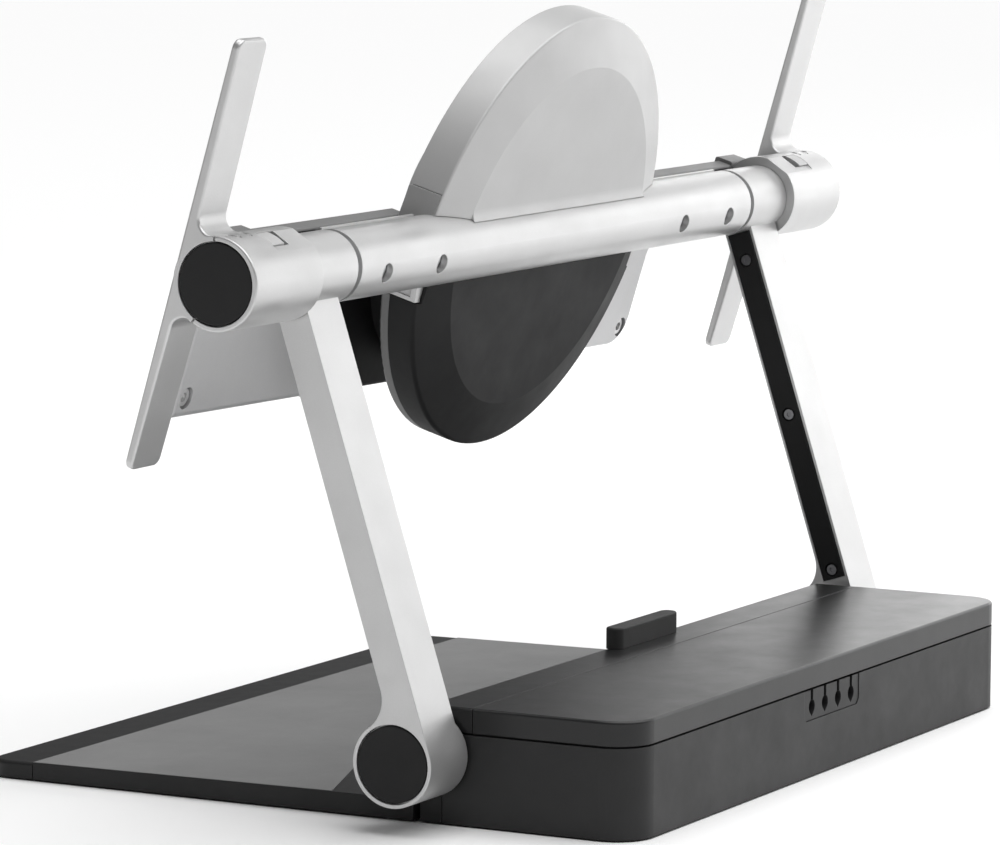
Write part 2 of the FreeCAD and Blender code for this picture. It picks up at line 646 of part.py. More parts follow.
def tube_screws():
    screws = []
    for x in TUBE_HOLES_X:
        head = cyl_y(4.9, TUBE_SCREW_SEAT, TUBE_SCREW_SEAT + 2.4, x, 0)
        socket = cyl_y(1.6, TUBE_SCREW_SEAT + 1.2, 19, x, 0)
        shank = cyl_y(TUBE_SCREW_R, 8.0, TUBE_SCREW_SEAT + 0.1, x, 0)
        screws.append(place_head(head.fuse(shank).cut(socket)))
    return both_sides(Part.makeCompound(screws))


def lever_sector(radius, x0, x1, spread):
    """Wedge of a round bar, facing forward, that reaches the given angle up and down."""
    reach = 3.0 * radius
    points = [(0.0, 0.0)]
    for step in (-1.0, -0.5, 0.0, 0.5, 1.0):
        angle = math.radians(180.0 + step * spread)
        points.append((reach * math.cos(angle), reach * math.sin(angle)))
    return cyl_x(radius, x0, x1).common(prism_x(points, x0, x1))


def lock_recess():
    """Flat recess near the sleeve's crown, with the slot that the lever lock slides in."""
    flat = box(SLEEVE_INNER_X - 1, RECESS_END_X, -9.0, 9.0, SLEEVE_R - RECESS_DEPTH, SLEEVE_R + 6)
    slot = box(LOCK_SLOT_X, RECESS_END_X, LOCK_FRONT - LOCK_GAP, LOCK_REAR + LOCK_GAP, 18, SLEEVE_R + 6)
    recess = flat.fuse(slot)
    recess.rotate(ORIGIN, X_AXIS, -RECESS_LEAN)
    return recess


def padlock_mark(x, bow_shift):
    """Engraved padlock; the bow of an open one is set to one side."""
    low, high = SLEEVE_R - MARK_DEPTH, SLEEVE_R + 2
    mark = box(x - 2.5, x + 2.5, -3.4, 0.4, low, high)
    bow = cyl_z(2.1, low, high, x + bow_shift, 1.4).cut(cyl_z(1.2, low, high, x + bow_shift, 1.4))
    bow = bow.common(box(x - 9, x + 9, 1.4, 9, low, high))
    for leg in (-2.1, 1.2):
        bow = bow.fuse(box(x + bow_shift + leg, x + bow_shift + leg + 0.9, 0.3, 1.5, low, high))
    mark = mark.fuse(bow).removeSplitter()
    mark.rotate(ORIGIN, X_AXIS, MARK_LEAN)
    return mark


def end_sleeve(side):
    sleeve = cyl_x(SLEEVE_R, SLEEVE_INNER_X, HALF_WIDTH)
    sleeve = fillet_where(sleeve, 1.0, lambda e: isinstance(e.Curve, Part.Circle)
                          and e.Vertexes[0].X > HALF_WIDTH - 1)
    sleeve = sleeve.cut(cyl_x(SLEEVE_BORE_R, SLEEVE_INNER_X + 7.0, HALF_WIDTH - 3.4))
    sleeve = sleeve.cut(cyl_x(AXLE_R, SLEEVE_INNER_X - 1, SLEEVE_INNER_X + 9))
    sleeve = sleeve.cut(cyl_x(CAP_HIGH_R + 0.6, HALF_WIDTH - 3.5, HALF_WIDTH + 1))
    gap = LEVER_ARC + math.degrees(LEVER_GAP / SLEEVE_R)
    sleeve = sleeve.cut(lever_sector(SLEEVE_R + 5, LEVER_INNER_X - 1.0, HALF_WIDTH + 1, gap))
    sleeve = sleeve.cut(lock_recess())
    sleeve = sleeve.cut(padlock_mark(MARK_X[0], 0.0)).cut(padlock_mark(MARK_X[1], -3.1))
    return mirrored(place_head(sleeve), side)


def end_cap(side):
    cap = cyl_x(CAP_HIGH_R, HALF_WIDTH - 3.2, HALF_WIDTH - 0.3)
    cap = fillet_where(cap, 0.8, lambda e: isinstance(e.Curve, Part.Circle)
                       and e.Vertexes[0].X > HALF_WIDTH - 1)
    hub = cyl_x(AXLE_R, 352.0, HALF_WIDTH - 3.1)
    return mirrored(place_head(cap.fuse(hub).removeSplitter()), side)


def paddle_half(length, sign):
    """Side view of one paddle, from the middle of the lever to its tip."""
    front = -SLEEVE_R - 0.25
    root = front + LEVER_ROOT_THICK
    tip = front + LEVER_TIP_THICK
    centre_y = root + LEVER_FILLET
    centre_z = math.sqrt((SLEEVE_R + LEVER_FILLET) ** 2 - centre_y ** 2)
    share = SLEEVE_R / (SLEEVE_R + LEVER_FILLET)
    foot = Vec(0, centre_y * share, sign * centre_z * share)
    turn = 0.5 * (3.0 * math.pi + math.atan2(-centre_z, -centre_y))
    bend_y = centre_y + LEVER_FILLET * math.cos(turn)
    bend_z = centre_z + LEVER_FILLET * math.sin(turn)
    neck = Vec(0, root, sign * centre_z)
    start = Vec(0, front, 0)
    edges = [
        Part.LineSegment(start, Vec(0, front, sign * length)).toShape(),
        Part.LineSegment(Vec(0, front, sign * length), Vec(0, tip, sign * length)).toShape(),
        Part.LineSegment(Vec(0, tip, sign * length), neck).toShape(),
        Part.Arc(neck, Vec(0, bend_y, sign * bend_z), foot).toShape(),
        Part.LineSegment(foot, ORIGIN).toShape(),
        Part.LineSegment(ORIGIN, start).toShape(),
    ]
    return Part.Face(Part.Wire(edges))


def lever(side):
    """Release lever: two paddles joined by the front part of the sleeve's end ring."""
    width = HALF_WIDTH - LEVER_INNER_X
    halves = []
    for length, sign in ((LEVER_UP, 1), (LEVER_DOWN, -1)):
        half = paddle_half(length, sign).extrude(Vec(width, 0, 0))
        half.translate(Vec(LEVER_INNER_X, 0, 0))
        half = fillet_where(half, 5.0, lambda e: lies_along(e, Y_AXIS) and abs(e.Vertexes[0].Z) > 90)
        halves.append(fillet_where(half, 1.4, lambda e: lies_along(e, X_AXIS) and abs(e.Vertexes[0].Z) > 90))
    sector = lever_sector(SLEEVE_R, LEVER_INNER_X, HALF_WIDTH, LEVER_ARC)
    body = halves[0].fuse(halves[1]).fuse(sector).removeSplitter()
    body = body.cut(cyl_x(SLEEVE_BORE_R - 1.0, LEVER_INNER_X - 1, HALF_WIDTH + 1))
    body = body.cut(cyl_x(CAP_HIGH_R + 0.6, HALF_WIDTH - 3.5, HALF_WIDTH + 1))
    ring = cyl_x(SLEEVE_BORE_R - 0.4, 336.0, 349.0)
    ring = ring.cut(cyl_x(AXLE_R + RUN_CLEARANCE, 300, 370))
    return mirrored(place_head(body.fuse(ring).removeSplitter()), side)


def coned_disc(x, lean):
    """Coned disc spring round the X axis; lean is how far its outer rim stands along X."""
    inner, outer, thick = AXLE_R + 0.4, 18.8, 1.2
    points = [(x, inner), (x + thick, inner), (x + thick + lean, outer), (x + lean, outer)]
    corners = [Vec(px, py, 0) for px, py in points]
    face = Part.Face(Part.makePolygon(corners + corners[:1]))
    return face.revolve(ORIGIN, X_AXIS, 360)


def clutch_springs():
    """Two pairs of coned discs on each axle that press the clutch plates together."""
    discs = [coned_disc(317.2 + 4.4 * i + 1.5 * (i % 2), 1.5 - 3.0 * (i % 2)) for i in range(4)]
    return both_sides(place_head(Part.makeCompound(discs)))


def clutch_plates():
    """Friction plates round the axles that hold the tilt until a lever is pulled."""
    plates = []
    for i in range(5):
        x = CLUTCH_X + CLUTCH_PITCH * i
        plates.append(cyl_x(CLUTCH_R, x, x + CLUTCH_PLATE).cut(cyl_x(AXLE_R + 0.2, 290, 330)))
    return both_sides(place_head(Part.makeCompound(plates)))


def lock_slider(side):
    """Slide that blocks its lever: a round-topped key with a wider foot under the sleeve's wall."""
    ring = cyl_x(SLEEVE_R - 0.1, LOCK_INNER_X, LOCK_OUTER_X)
    key = ring.common(box(LOCK_INNER_X, LOCK_OUTER_X, LOCK_FRONT, LOCK_REAR, 0, 30))
    foot = cyl_x(SLEEVE_BORE_R - 0.3, LOCK_INNER_X + 0.7, LOCK_OUTER_X - 0.7)
    foot = foot.common(box(LOCK_INNER_X, LOCK_OUTER_X, LOCK_FRONT - 2.2, LOCK_REAR + 2.2, 0, 30))
    slider = key.fuse(foot).cut(cyl_x(LOCK_FOOT_R, 300, 340)).removeSplitter()
    slider.rotate(ORIGIN, X_AXIS, -RECESS_LEAN)
    return mirrored(place_head(slider), side)


def hub_half(inset, y0, y1, upper):
    """One half of the round hub: an arc whose centre lies past the head axis."""
    centre = -HUB_SHIFT if upper else HUB_SHIFT
    disc = cyl_y(HUB_R - inset, y0, y1, 0, centre)
    half = box(-200, 200, y0 - 1, y1 + 1, 0, 200) if upper else box(-200, 200, y0 - 1, y1 + 1, -200, 0)
    return disc.common(half)


def hub_dome(inset, y_front, upper):
    """Cover body: a drum, then a shallow cone up to the raised rear face."""
    centre = -HUB_SHIFT if upper else HUB_SHIFT
    drum = cyl_y(HUB_R - inset, y_front, -inset, 0, centre)
    cone = Part.makeCone(HUB_R - inset, HUB_RIM_R - inset, HUB_RAISE, Vec(0, -inset, centre), Y_AXIS)
    half = box(-200, 200, -60, 60, 0, 200) if upper else box(-200, 200, -60, 60, -200, 0)
    return drum.fuse(cone).removeSplitter().common(half)


def clamp_zone(y_rear=60.0):
    """Room for the two tube clamps at the sides of the hub."""
    gap = 0.5
    reach = BLOCK_HALF_HEIGHT + gap
    return both_sides(box(BLOCK_X - gap, 200, -60, y_rear, -reach, reach))


def tube_space(grow=0.25):
    return cyl_x(TUBE_R + grow, -300, 300)


def tube_blend():
    """Soft curve from the raised rear face down on to the tube."""
    radius = 9.0
    centre_y = HUB_RAISE + radius
    centre_z = math.sqrt((TUBE_R + radius) ** 2 - centre_y ** 2)
    share = TUBE_R / (TUBE_R + radius)
    wedge = prism_x([(HUB_RAISE - 1, 5), (centre_y * share, centre_z * share), (centre_y, centre_z),
                     (HUB_RAISE - 1, centre_z)], -105, 105)
    return wedge.cut(cyl_x(radius, -120, 120, centre_y, centre_z))


def hub_cover_upper():
    outer = hub_dome(0.0, HUB_UPPER_FRONT, True)
    outer = fillet_where(outer, 1.4, lambda e: isinstance(e.Curve, Part.Circle)
                         and abs(e.Curve.Radius - HUB_R) < 0.1 and abs(e.Vertexes[0].Y) < 0.1)
    outer = outer.fuse(tube_blend())
    inner = hub_dome(HUB_WALL, HUB_UPPER_FRONT - 1, True)
    cover = outer.cut(inner).cut(clamp_zone(-CLAMP_SKIN)).cut(tube_space())
    return place_head(cover.removeSplitter())


def hub_cover_lower():
    outer = hub_dome(0.0, HUB_LOWER_FRONT, False)
    outer = fillet_where(outer, 2.6, lambda e: isinstance(e.Curve, Part.Circle)
                         and abs(e.Curve.Radius - HUB_R) < 0.1 and abs(e.Vertexes[0].Y) < 0.1)
    inner = hub_dome(HUB_WALL, HUB_LOWER_FRONT - 1, False)
    cover = outer.cut(inner).cut(clamp_zone()).cut(tube_space())
    return place_head(cover)


def hub_carrier():
    """Aluminium plate that the covers and the rotation bearing are fixed to."""
    rim = hub_half(0.0, CARRIER_FRONT, HUB_LOWER_FRONT, False)
    rim = fillet_where(rim, 1.0, lambda e: isinstance(e.Curve, Part.Circle)
                       and e.Vertexes[0].Y < CARRIER_FRONT + 0.1)
    inside = hub_half(HUB_WALL + 0.3, CARRIER_FRONT + 0.4, HUB_LOWER_FRONT, True)
    plate = rim.fuse(inside).cut(clamp_zone()).cut(tube_space(0.3))
    web = box(-112, 112, HUB_LOWER_FRONT - 0.1, -4.0, -TUBE_R - 8, -TUBE_R - 0.3)
    plate = plate.fuse(web).fuse(web.mirror(ORIGIN, Z_AXIS)).removeSplitter()
    return place_head(plate.cut(cyl_y(20.2, -30, -14.0)).cut(tube_space(0.3)))


def tube_clamp(side):
    """Silver block that grips the tube and closes the rim between the two covers."""
    upper = hub_half(0.0, HUB_UPPER_FRONT, -CLAMP_SKIN - 0.2, True)
    lower = hub_half(0.0, HUB_UPPER_FRONT, 0.0, False)
    block = upper.fuse(lower).removeSplitter()
    block = block.common(box(BLOCK_X, 200, -60, 60, -BLOCK_HALF_HEIGHT, BLOCK_HALF_HEIGHT))
    block = block.cut(cyl_x(TUBE_R, 0, 300))
    block = block.cut(box(131.0, 200, -19.0, -3.5, -28.5, -12.0))
    return mirrored(place_head(block), side)


def front_beam(side):
    """Flat bar ahead of the tube that stiffens the head out to its sleeve."""
    bar = box(BLOCK_X + 1.0, BEAM_OUTER_X, BEAM_FRONT, BEAM_REAR, -BEAM_HALF_HEIGHT, BEAM_HALF_HEIGHT)
    bar = fillet_where(bar, 1.5, lambda e: lies_along(e, X_AXIS))
    end = box(289.0, BEAM_OUTER_X, BEAM_FRONT - 1.5, BEAM_REAR, -15.6, 15.6)
    end = fillet_where(end, 1.5, lambda e: lies_along(e, X_AXIS))
    foot = box(294.0, BEAM_OUTER_X - 2, BEAM_REAR - 1, -14.0, -12, 12)
    inside = BEAM_HALF_HEIGHT - BEAM_FLANGE
    opening = box(BEAM_OPEN_X[0], BEAM_OPEN_X[1], BEAM_FRONT + 2.4, BEAM_REAR + 1, -inside, inside)
    bar = bar.cut(opening).fuse(end).fuse(foot).cut(cyl_x(SLEEVE_R + 0.05, SLEEVE_INNER_X - 0.6, 340))
    return mirrored(place_head(bar.removeSplitter()), side)


def on_bolt_circle(shape, start):
    """Copies of a shape that is drawn on the fore-and-aft axis, set out on the hub's circle."""
    copies = []
    for i in range(HUB_BOLT_COUNT):
        angle = math.radians(start + 360 * i / HUB_BOLT_COUNT)
        moved = shape.copy()
        moved.translate(Vec(HUB_BOLT_R * math.cos(angle), 0, HUB_BOLT_R * math.sin(angle)))
        copies.append(moved)
    return Part.makeCompound(copies)


def slewing_ring():
    """Fixed half of the rotation bearing, bolted to the carrier."""
    ring = cyl_y(BEARING_R, BEARING_FRONT, CARRIER_FRONT).cut(cyl_y(SPIGOT_R + RUN_CLEARANCE, -45, -20))
    return place_head(ring.cut(on_bolt_circle(cyl_y(HUB_SHANK_R, -45, -20), 30)))


def slewing_screws():
    return place_head(on_bolt_circle(cyl_y(HUB_SHANK_R, -43.6, CARRIER_FRONT), 30))


# Display plate ----------------------------------------------------------------------------


def rotation_hub():
    """Turning half of the bearing: a spigot in the ring and a flange on the plate."""
    flange_rear = BEARING_FRONT - 0.4
    spigot = cyl_y(SPIGOT_R, flange_rear, -24.0)
    flange = cyl_y(HUB_FLANGE_R, DISPLAY_REAR, flange_rear)
    hub = spigot.fuse(flange).cut(cyl_y(15.0, -60, -20)).removeSplitter()
    return place_display(hub.cut(on_bolt_circle(cyl_y(HUB_SHANK_R, DISPLAY_REAR - 1, -46.0), 0)))


def hub_panel():
    """Black panel let into the middle of the display plate."""
    top = DISPLAY_TOP - 0.5
    panel = box(-HUB_PANEL_HALF_WIDTH, HUB_PANEL_HALF_WIDTH, DISPLAY_REAR - HUB_PANEL_THICK,
                DISPLAY_REAR, DISPLAY_BOTTOM, top)
    panel = fillet_where(panel, 2.6, lambda e: lies_along(e, X_AXIS)
                         and e.Vertexes[0].Z < DISPLAY_BOTTOM + 1 and e.Vertexes[0].Y > DISPLAY_REAR - 1)
    dome = cyl_y(HUB_SEAT_R - 0.5, DISPLAY_REAR - HUB_PANEL_THICK, DISPLAY_REAR)
    panel = panel.fuse(dome).removeSplitter()
    return place_display(panel.cut(on_bolt_circle(cyl_y(HUB_SHANK_R, -60, -50), 0)))


def hub_shroud():
    """Curved guard round the lower half of the bearing."""
    wall = cyl_y(SHROUD_R, DISPLAY_REAR, -22.3).cut(cyl_y(SHROUD_R - SHROUD_WALL, -60, -10))
    return place_display(wall.common(box(-120, 120, -70, 0, -120, -21.5)))


def display_plate():
    low, high = DISPLAY_BOTTOM, DISPLAY_TOP
    wide, tab = CROSSBAR_HALF_WIDTH, DISPLAY_HALF_WIDTH
    plate = box(-tab, tab, DISPLAY_FRONT, DISPLAY_REAR, low, CROSSBAR_BOTTOM + 5)
    plate = fillet_where(plate, 19.0, lambda e: lies_along(e, Y_AXIS)
                         and e.Vertexes[0].Z < low + 1 and e.Vertexes[0].X < 0)
    plate = fillet_where(plate, 4.0, lambda e: lies_along(e, Y_AXIS)
                         and e.Vertexes[0].Z < low + 1 and e.Vertexes[0].X > 0)
    bar = box(-wide, wide, DISPLAY_FRONT, DISPLAY_REAR, CROSSBAR_BOTTOM, high)
    bar = fillet_where(bar, 6.0, lambda e: lies_along(e, Y_AXIS))
    corner_r = 8.0
    plate = plate.fuse(bar)
    for side in (-1, 1):
        block = box(side * (tab - 1), side * (tab + corner_r), DISPLAY_FRONT, DISPLAY_REAR,
                    CROSSBAR_BOTTOM - corner_r, CROSSBAR_BOTTOM + 1)
        round_off = cyl_y(corner_r, DISPLAY_FRONT - 1, DISPLAY_REAR + 1, side * (tab + corner_r),
                          CROSSBAR_BOTTOM - corner_r)
        plate = plate.fuse(block.cut(round_off))
    plate = plate.fuse(cyl_y(HUB_SEAT_R, DISPLAY_FRONT, DISPLAY_REAR)).removeSplitter()
    plate = fillet_where(plate, 3.5, lambda e: lies_along(e, X_AXIS)
                         and e.Vertexes[0].Z < low + 1 and e.Vertexes[0].Y > DISPLAY_REAR - 1)
    seat = box(-HUB_PANEL_HALF_WIDTH - 0.3, HUB_PANEL_HALF_WIDTH + 0.3, DISPLAY_REAR - HUB_PANEL_THICK,
               DISPLAY_REAR + 1, low - 1, high)
    seat = seat.fuse(cyl_y(HUB_SEAT_R, DISPLAY_REAR - HUB_PANEL_THICK, DISPLAY_REAR + 1))
    plate = plate.cut(seat)
    for x in (-SCREW_X, SCREW_X):
        for z in SCREW_Z:
            plate = plate.cut(cyl_y(SCREW_HOLE_R, -70, -40, x, z))
            plate = plate.cut(cyl_y(6.2, DISPLAY_REAR - 5.0, DISPLAY_REAR + 1, x, z))
    for x in (-MOUNT_SPACING / 2, MOUNT_SPACING / 2):
        for z in (MOUNT_CENTRE_Z - MOUNT_SPACING / 2, MOUNT_CENTRE_Z + MOUNT_SPACING / 2):
            plate = plate.cut(cyl_y(MOUNT_HOLE_R, DISPLAY_FRONT - 1, DISPLAY_REAR - HUB_PANEL_THICK, x, z))
    plate = plate.cut(on_bolt_circle(cyl_y(HUB_SHANK_R, DISPLAY_FRONT - 1, DISPLAY_REAR), 0))
    plate = plate.cut(on_bolt_circle(cyl_y(4.3, DISPLAY_FRONT - 1, DISPLAY_FRONT + 4.0), 0))
    return place_display(plate)


def display_screws():
    """Captive screws that hold the display on the plate."""
    screws = []
    for x in (-SCREW_X, SCREW_X):
        for z in SCREW_Z:
            head = cyl_y(5.0, DISPLAY_REAR - 5.0, DISPLAY_REAR - 1.6, x, z)
            head = head.cut(cyl_y(2.6, DISPLAY_REAR - 3.6, DISPLAY_REAR, x, z))
            shank = cyl_y(2.0, DISPLAY_FRONT, DISPLAY_REAR - 4.9, x, z)
            screws.append(head.fuse(shank).removeSplitter())
    return place_display(Part.makeCompound(screws))


def hub_screws():
    """Screws from the plate's front through the panel into the rotation hub."""
    head = cyl_y(3.9, DISPLAY_FRONT + 0.4, DISPLAY_FRONT + 4.0)
    head = head.cut(cyl_y(1.8, DISPLAY_FRONT, DISPLAY_FRONT + 2.2))
    shank = cyl_y(HUB_SHANK_R, DISPLAY_FRONT + 3.9, -46.0)
    return place_display(on_bolt_circle(head.fuse(shank).removeSplitter(), 0))


CENTRE_PARTS = {
    "front_plate": front_plate,
    "front_trim": front_trim,
    "mat_inlay": mat_inlay,
    "base_steel_plate": base_steel_plate,
    "box_tray": box_tray,
    "front_cover": front_cover,
    "box_lid": box_lid,
    "counterweight": counterweight,
    "counterweight_screws": counterweight_screws,
    "keyhole_clip": keyhole_clip,
    "display_bumper": display_bumper,
    "rubber_feet": rubber_feet,
    "pivot_nuts": pivot_nuts,
    "pivot_washers": pivot_washers,
    "pivot_crossbeam": pivot_crossbeam,
    "pivot_bushes": pivot_bushes,
    "tilt_bushes": tilt_bushes,
    "arm_cover_screws": arm_cover_screws,
    "head_tube": head_tube,
    "tube_screws": tube_screws,
    "clutch_plates": clutch_plates,
    "clutch_springs": clutch_springs,
    "hub_cover_upper": hub_cover_upper,
    "hub_cover_lower": hub_cover_lower,
    "hub_carrier": hub_carrier,
    "slewing_ring": slewing_ring,
    "slewing_screws": slewing_screws,
    "rotation_hub": rotation_hub,
    "hub_panel": hub_panel,
    "hub_shroud": hub_shroud,
    "display_plate": display_plate,
    "display_screws": display_screws,
    "hub_screws": hub_screws,
}

SIDE_PARTS = {
    "pivot_block": pivot_block,
    "pivot_shaft": pivot_shaft,
    "arm": arm,
    "arm_cover": arm_cover,
    "pivot_cap": pivot_cap,
    "counterbalance_spring": counterbalance_spring,
    "head_axle": head_axle,
    "end_sleeve": end_sleeve,
    "end_cap": end_cap,
    "lever": lever,
    "lock_slider": lock_slider,
    "tube_clamp": tube_clamp,
    "front_beam": front_beam,
}


def save(name, shape):
    solids = shape.Solids
    sound = solids and shape.isValid() and all(solid.Volume > 0 for solid in solids)
    print(name, len(solids), "solids", "" if sound else "NOT VALID")
    result = solids[0] if len(solids) == 1 else Part.makeCompound(solids)
    result.exportStep(os.path.join("parts", name + ".step"))


def main():
    os.makedirs("parts", exist_ok=True)
    for name, make in CENTRE_PARTS.items():
        save(name, make())
    for name, make in SIDE_PARTS.items():
        for side_name, side in SIDES:
            save(name + "_" + side_name, make(side))
    axis = head_axis()
    print("head axis y %.3f z %.3f" % (axis.y, axis.z))


main()
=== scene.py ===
import math

import bpy
from mathutils import Matrix, Vector

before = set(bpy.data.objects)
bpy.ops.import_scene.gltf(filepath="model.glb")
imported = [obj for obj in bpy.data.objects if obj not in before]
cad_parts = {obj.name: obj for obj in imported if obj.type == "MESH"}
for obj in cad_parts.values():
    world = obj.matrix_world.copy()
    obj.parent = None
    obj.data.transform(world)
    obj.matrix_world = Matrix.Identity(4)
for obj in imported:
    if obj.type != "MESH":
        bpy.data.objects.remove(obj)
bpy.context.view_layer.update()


# Materials --------------------------------------------------------------------------------

NOISE_LOW = 0.3             # where most of a noise's values lie
NOISE_HIGH = 0.7
FLAKE_SHARE = 0.6           # colour change of the fine grain, as a share of the slow drift
MOTTLE_SCALE = 14.0
SMUDGE_SCALE = 31.0
BEVEL_SAMPLES = 6
SPECK_SCALE = 260.0
SPECK_INNER = 0.05
SPECK_OUTER = 0.09
SPECK_COLOUR = (0.5, 0.5, 0.5, 1.0)


def node_at(nodes, kind, **values):
    made = nodes.new(kind)
    for key, value in values.items():
        made.inputs[key].default_value = value
    return made


def noise_range(tree, noise, low, high):
    """The middle of a noise's spread, mapped onto low to high."""
    made = tree.nodes.new("ShaderNodeMapRange")
    made.inputs["From Min"].default_value = NOISE_LOW
    made.inputs["From Max"].default_value = NOISE_HIGH
    made.inputs["To Min"].default_value = low
    made.inputs["To Max"].default_value = high
    tree.links.new(noise.outputs["Fac"], made.inputs["Value"])
    return made.outputs["Result"]


def specked(tree, source, colour_out, amount):
    """Pale specks scattered over a colour."""
    nodes, links = tree.nodes, tree.links
    dots = node_at(nodes, "ShaderNodeTexVoronoi", Scale=SPECK_SCALE)
    links.new(source, dots.inputs["Vector"])
    near = nodes.new("ShaderNodeMapRange")
    near.inputs["From Min"].default_value = SPECK_INNER
    near.inputs["From Max"].default_value = SPECK_OUTER
    near.inputs["To Min"].default_value = amount
    near.inputs["To Max"].default_value = 0.0
    links.new(dots.outputs["Distance"], near.inputs["Value"])
    mix = nodes.new("ShaderNodeMix")
    mix.data_type = "RGBA"
    mix.inputs["B"].default_value = SPECK_COLOUR
    links.new(near.outputs["Result"], mix.inputs["Factor"])
    links.new(colour_out, mix.inputs["A"])
    return mix.outputs["Result"]


def finish(name, colour, metallic, rough, grain=0.00002, grain_scale=1400.0, mottle=0.05,
           rough_spread=0.06, edge=0.0005, brushed=None, speck=0.0, specular=0.5):
    """A procedural finish: fine grain, slow colour and gloss drift, specks, and soft edges."""
    mat = bpy.data.materials.new(name)
    mat.use_nodes = True
    tree = mat.node_tree
    nodes, links = tree.nodes, tree.links
    shader = nodes["Principled BSDF"]
    shader.inputs["Metallic"].default_value = metallic
    shader.inputs["Specular IOR Level"].default_value = specular
    place = nodes.new("ShaderNodeTexCoord")
    source = place.outputs["Object"]
    slow = node_at(nodes, "ShaderNodeTexNoise", Scale=MOTTLE_SCALE, Detail=4.0, Roughness=0.6)
    links.new(source, slow.inputs["Vector"])
    fine_source = source
    if brushed:
        stretch = nodes.new("ShaderNodeMapping")
        stretch.inputs["Scale"].default_value = brushed
        links.new(source, stretch.inputs["Vector"])
        fine_source = stretch.outputs["Vector"]
    fine = node_at(nodes, "ShaderNodeTexNoise", Scale=grain_scale, Detail=2.0, Roughness=0.55)
    links.new(fine_source, fine.inputs["Vector"])

    flake = FLAKE_SHARE * mottle
    both = nodes.new("ShaderNodeMath")
    both.operation = "MULTIPLY"
    links.new(noise_range(tree, slow, 1.0 - mottle, 1.0 + mottle), both.inputs[0])
    links.new(noise_range(tree, fine, 1.0 - flake, 1.0 + flake), both.inputs[1])
    tint = nodes.new("ShaderNodeVectorMath")
    tint.operation = "SCALE"
    tint.inputs[0].default_value = colour
    links.new(both.outputs["Value"], tint.inputs["Scale"])
    colour_out = tint.outputs["Vector"]
    if speck:
        colour_out = specked(tree, source, colour_out, speck)
    links.new(colour_out, shader.inputs["Base Color"])

    smudge = node_at(nodes, "ShaderNodeTexNoise", Scale=SMUDGE_SCALE, Detail=5.0, Roughness=0.65)
    links.new(source, smudge.inputs["Vector"])
    gloss = noise_range(tree, smudge, rough - rough_spread, rough + rough_spread)
    links.new(gloss, shader.inputs["Roughness"])

    bump = nodes.new("ShaderNodeBump")
    bump.inputs["Strength"].default_value = 1.0
    bump.inputs["Distance"].default_value = grain
    links.new(fine.outputs["Fac"], bump.inputs["Height"])
    if edge:
        soft = nodes.new("ShaderNodeBevel")
        soft.samples = BEVEL_SAMPLES
        soft.inputs["Radius"].default_value = edge
        links.new(soft.outputs["Normal"], bump.inputs["Normal"])
    links.new(bump.outputs["Normal"], shader.inputs["Normal"])
    return mat


SILVER = (0.62, 0.62, 0.62)
CHARCOAL = (0.018, 0.018, 0.0185)
BLACK = (0.012, 0.012, 0.0125)

MATERIALS = {
    "silver": finish("silver_satin", SILVER, 0.75, 0.40, grain=0.00003, mottle=0.025),
    "silver_cover": finish("silver_cover", (0.53, 0.53, 0.53), 0.45, 0.50, grain=0.00003, mottle=0.02),
    "frame_grey": finish("frame_grey", (0.20, 0.20, 0.20), 0.45, 0.50, mottle=0.04),
    "plate_grey": finish("plate_grey", (0.64, 0.64, 0.645), 0.50, 0.44, mottle=0.03),
    "dark_cover": finish("dark_cover", CHARCOAL, 0.0, 0.62, grain=0.00004, mottle=0.08, specular=0.25),
    "tray": finish("tray_plastic", CHARCOAL, 0.0, 0.48, grain=0.00004, mottle=0.06, specular=0.35),
    "lid": finish("lid_plastic", (0.014, 0.014, 0.0145), 0.0, 0.34, grain=0.00002, mottle=0.05,
                  specular=0.4, rough_spread=0.03),
    "black_cap": finish("black_cap", BLACK, 0.0, 0.55, grain=0.00003, mottle=0.10, specular=0.3),
    "black_panel": finish("black_panel", BLACK, 0.0, 0.55, grain=0.00003, mottle=0.10, specular=0.25),
    "plate_desk": finish("desk_plate", CHARCOAL, 0.0, 0.50, grain=0.00003, mottle=0.05, specular=0.3),
    "mat": finish("desk_mat", (0.20, 0.20, 0.20), 0.0, 0.72, grain=0.00010, grain_scale=2200.0,
                  mottle=0.08, edge=0.0003, speck=0.05),
    "rubber": finish("rubber", (0.03, 0.03, 0.03), 0.0, 0.62, grain=0.00006, mottle=0.10, specular=0.3),
    "steel": finish("machined_steel", (0.55, 0.55, 0.56), 1.0, 0.34, brushed=(1.0, 14.0, 14.0),
                    mottle=0.06),
    "screw": finish("plated_screw", (0.22, 0.22, 0.23), 1.0, 0.36, mottle=0.08, edge=0.0003),
    "bright_screw": finish("bright_screw", (0.74, 0.74, 0.74), 0.9, 0.34, mottle=0.05, edge=0.0003),
    "black_steel": finish("black_steel", (0.016, 0.016, 0.0165), 0.0, 0.50, grain=0.00003, mottle=0.08,
                          specular=0.3),
    "bush": finish("acetal", (0.70, 0.69, 0.65), 0.0, 0.45, mottle=0.04),
    "iron": finish("cast_iron", (0.07, 0.07, 0.07), 0.3, 0.70, grain=0.00020, grain_scale=500.0,
                   mottle=0.15),
}

